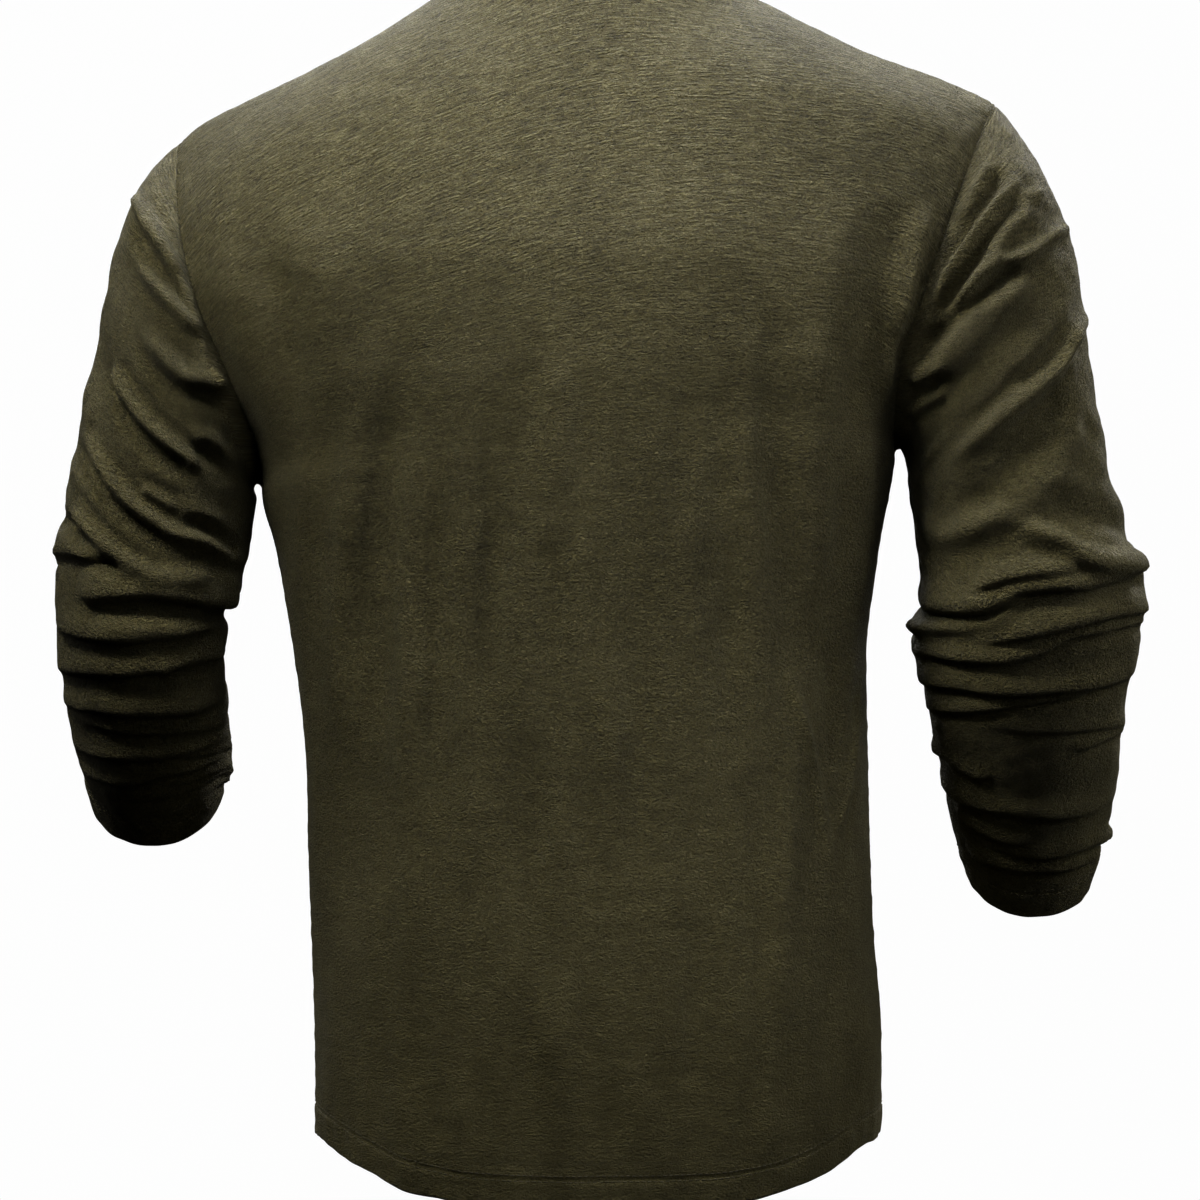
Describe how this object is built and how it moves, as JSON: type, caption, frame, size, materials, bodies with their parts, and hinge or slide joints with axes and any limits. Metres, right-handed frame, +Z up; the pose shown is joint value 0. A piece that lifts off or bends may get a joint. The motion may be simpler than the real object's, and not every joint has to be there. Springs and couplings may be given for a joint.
{
  "type": "henley shirt",
  "caption": "Long-sleeved henley shirt in slub jersey, hollow as if worn, with a rib neckband, a buttoned placket, pushed-up sleeves and a curved hem.",
  "frame": {"origin": "middle of the neck opening, level with the shoulder seams' inner ends", "axes": "+Z up the worn shirt, +Y out of its back, +X to the wearer's left"},
  "size_m": [0.6308, 0.2519, 0.7158],
  "materials": {
    "jersey": "dull olive slub jersey",
    "rib": "dull olive fine rib",
    "button": "dark satin plastic"
  },
  "bodies": {
    "root": {"back_panel": "jersey", "front_panel": "jersey", "sleeve_left": "jersey", "sleeve_right": "jersey", "neckband": "rib", "placket_over": "jersey", "placket_under": "jersey", "button_1": "button", "button_2": "button", "button_3": "button"}
  },
  "joints": []
}
